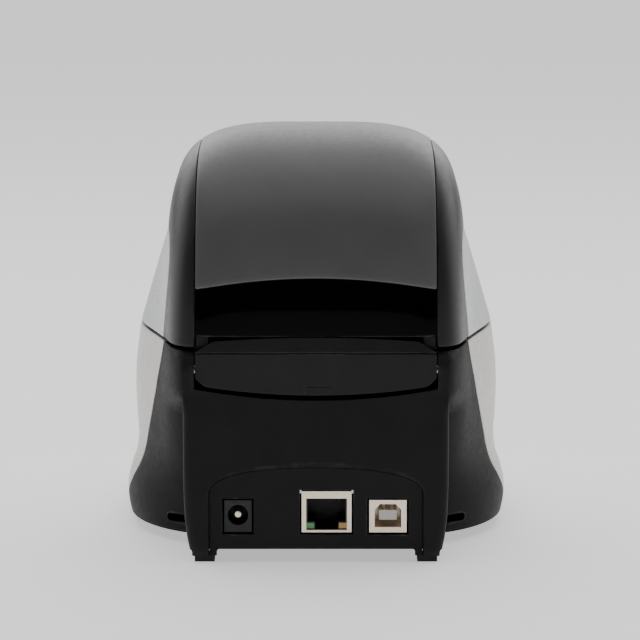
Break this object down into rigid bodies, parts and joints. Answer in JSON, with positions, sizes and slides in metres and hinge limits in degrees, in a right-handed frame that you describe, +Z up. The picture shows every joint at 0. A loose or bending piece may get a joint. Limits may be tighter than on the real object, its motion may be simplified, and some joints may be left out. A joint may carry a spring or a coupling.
{
  "type": "thermal label printer",
  "caption": "Compact direct thermal label printer: domed hinged lid with a label spool inside, sprung print head over a geared platen, and a rear socket block.",
  "frame": {"origin": "on the table under the middle of the printer's bounding box", "axes": "+Z up, +Y toward the rear socket block, -Y toward the label exit, +X to the right seen from the front"},
  "size_m": [0.127, 0.187, 0.133],
  "materials": {
    "black_case": "fine satin moulding",
    "foot_rubber": "matt",
    "screw_steel": "plain",
    "silver_side": "silver pigmented satin",
    "silver_wing": "silver pigmented satin",
    "gloss_fascia": "polished",
    "inner_black": "matt",
    "board_green": "solder mask",
    "chip_black": "matt",
    "connector_black": "matt",
    "nickel": "nickel plated",
    "contact_gold": "bright",
    "lamp_green": "clear tinted",
    "lamp_amber": "clear tinted",
    "tongue_white": "matt",
    "frame_steel": "zinc plated sheet",
    "motor_steel": "plated can",
    "shaft_steel": "ground",
    "gear_acetal": "natural acetal",
    "light_pipe": "clear",
    "black_lid": "semi gloss",
    "grey_strip": "satin dark grey",
    "smoked_window": "polished smoked",
    "spool_grey": "matt",
    "platen_rubber": "ground rubber",
    "sink_aluminium": "milled",
    "head_ceramic": "fired",
    "lever_blue": "satin",
    "button_grey": "satin"
  },
  "bodies": {
    "housing": {"base_plate": "black_case", "rubber_feet": "foot_rubber", "case_screws": "screw_steel", "body_housing": "black_case", "rear_block": "black_case", "port_panel": "black_case", "side_panel_left": "silver_side", "side_panel_right": "silver_side", "front_panel": "gloss_fascia", "inner_deck": "inner_black", "roll_well": "inner_black", "main_board": "board_green", "board_chips": "chip_black", "power_jack": "connector_black", "power_pin": "nickel", "network_shell": "nickel", "network_insert": "connector_black", "network_contacts": "contact_gold", "green_led": "lamp_green", "amber_led": "lamp_amber", "usb_shell": "nickel", "usb_tongue": "tongue_white", "usb_contacts": "contact_gold", "engine_frame": "frame_steel", "platen_bushes": "gear_acetal", "stepper_motor": "motor_steel", "idler_post": "shaft_steel", "label_guide": "inner_black", "label_sensor": "chip_black", "tear_bar": "frame_steel", "button_board": "board_green", "button_switches": "chip_black", "light_pipe": "light_pipe"},
    "lid": {"lid_shell": "black_lid", "lid_strip": "grey_strip", "lid_window": "smoked_window", "lid_flap": "black_lid", "wing_left": "silver_wing", "wing_right": "silver_wing", "spool_cradle": "inner_black", "hinge_arms": "inner_black", "hinge_pins": "shaft_steel"},
    "spool": {"spool_spindle": "spool_grey"},
    "guide": {"spool_guide": "spool_grey"},
    "platen": {"platen_shaft": "shaft_steel", "platen_roller": "platen_rubber", "platen_gear": "gear_acetal"},
    "idler": {"idler_gear": "gear_acetal"},
    "pinion": {"motor_pinion": "contact_gold"},
    "head": {"head_bracket": "frame_steel", "heatsink": "sink_aluminium", "print_head": "head_ceramic", "head_springs": "shaft_steel"},
    "lever": {"release_lever": "lever_blue"},
    "feed": {"feed_button": "button_grey"},
    "eject": {"eject_button": "button_grey"}
  },
  "joints": [
    {"name": "lid_hinge", "type": "hinge", "parent": "housing", "child": "lid", "pos_m": [0, 0.084, 0.061], "axis": [-1, 0, 0], "range_deg": [0, 75]},
    {"name": "spool_spin", "type": "hinge", "parent": "lid", "child": "spool", "pos_m": [0, 0.022, 0.076], "axis": [1, 0, 0], "continuous": true},
    {"name": "guide_slide", "type": "slide", "parent": "spool", "child": "guide", "axis": [1, 0, 0], "range_m": [0, 0.036]},
    {"name": "platen_spin", "type": "hinge", "parent": "housing", "child": "platen", "pos_m": [0, -0.043, 0.052], "axis": [1, 0, 0], "continuous": true},
    {"name": "idler_spin", "type": "hinge", "parent": "housing", "child": "idler", "pos_m": [0.03885, -0.03719, 0.03741], "axis": [1, 0, 0], "continuous": true},
    {"name": "pinion_spin", "type": "hinge", "parent": "housing", "child": "pinion", "pos_m": [0.03885, -0.04, 0.0238], "axis": [1, 0, 0], "continuous": true},
    {"name": "lever_turn", "type": "hinge", "parent": "housing", "child": "lever", "pos_m": [-0.04, -0.035, 0.051], "axis": [-1, 0, 0], "range_deg": [0, 40]},
    {"name": "head_lift", "type": "hinge", "parent": "housing", "child": "head", "pos_m": [0, -0.03, 0.0592], "axis": [-1, 0, 0], "range_deg": [0, 4]},
    {"name": "feed_press", "type": "slide", "parent": "housing", "child": "feed", "axis": [0, 0.7071, -0.7071], "range_m": [0, 0.0008], "stiffness_N_per_m": 400, "springref_m": -0.0005},
    {"name": "eject_press", "type": "slide", "parent": "housing", "child": "eject", "axis": [0, 0.7071, -0.7071], "range_m": [0, 0.0008], "stiffness_N_per_m": 400, "springref_m": -0.0005}
  ],
  "couplings": [
    {"joint": "idler_spin", "follows": "platen_spin", "ratio": -0.625},
    {"joint": "pinion_spin", "follows": "platen_spin", "ratio": 1.4286},
    {"joint": "head_lift", "follows": "lever_turn", "ratio": 0.1}
  ]
}
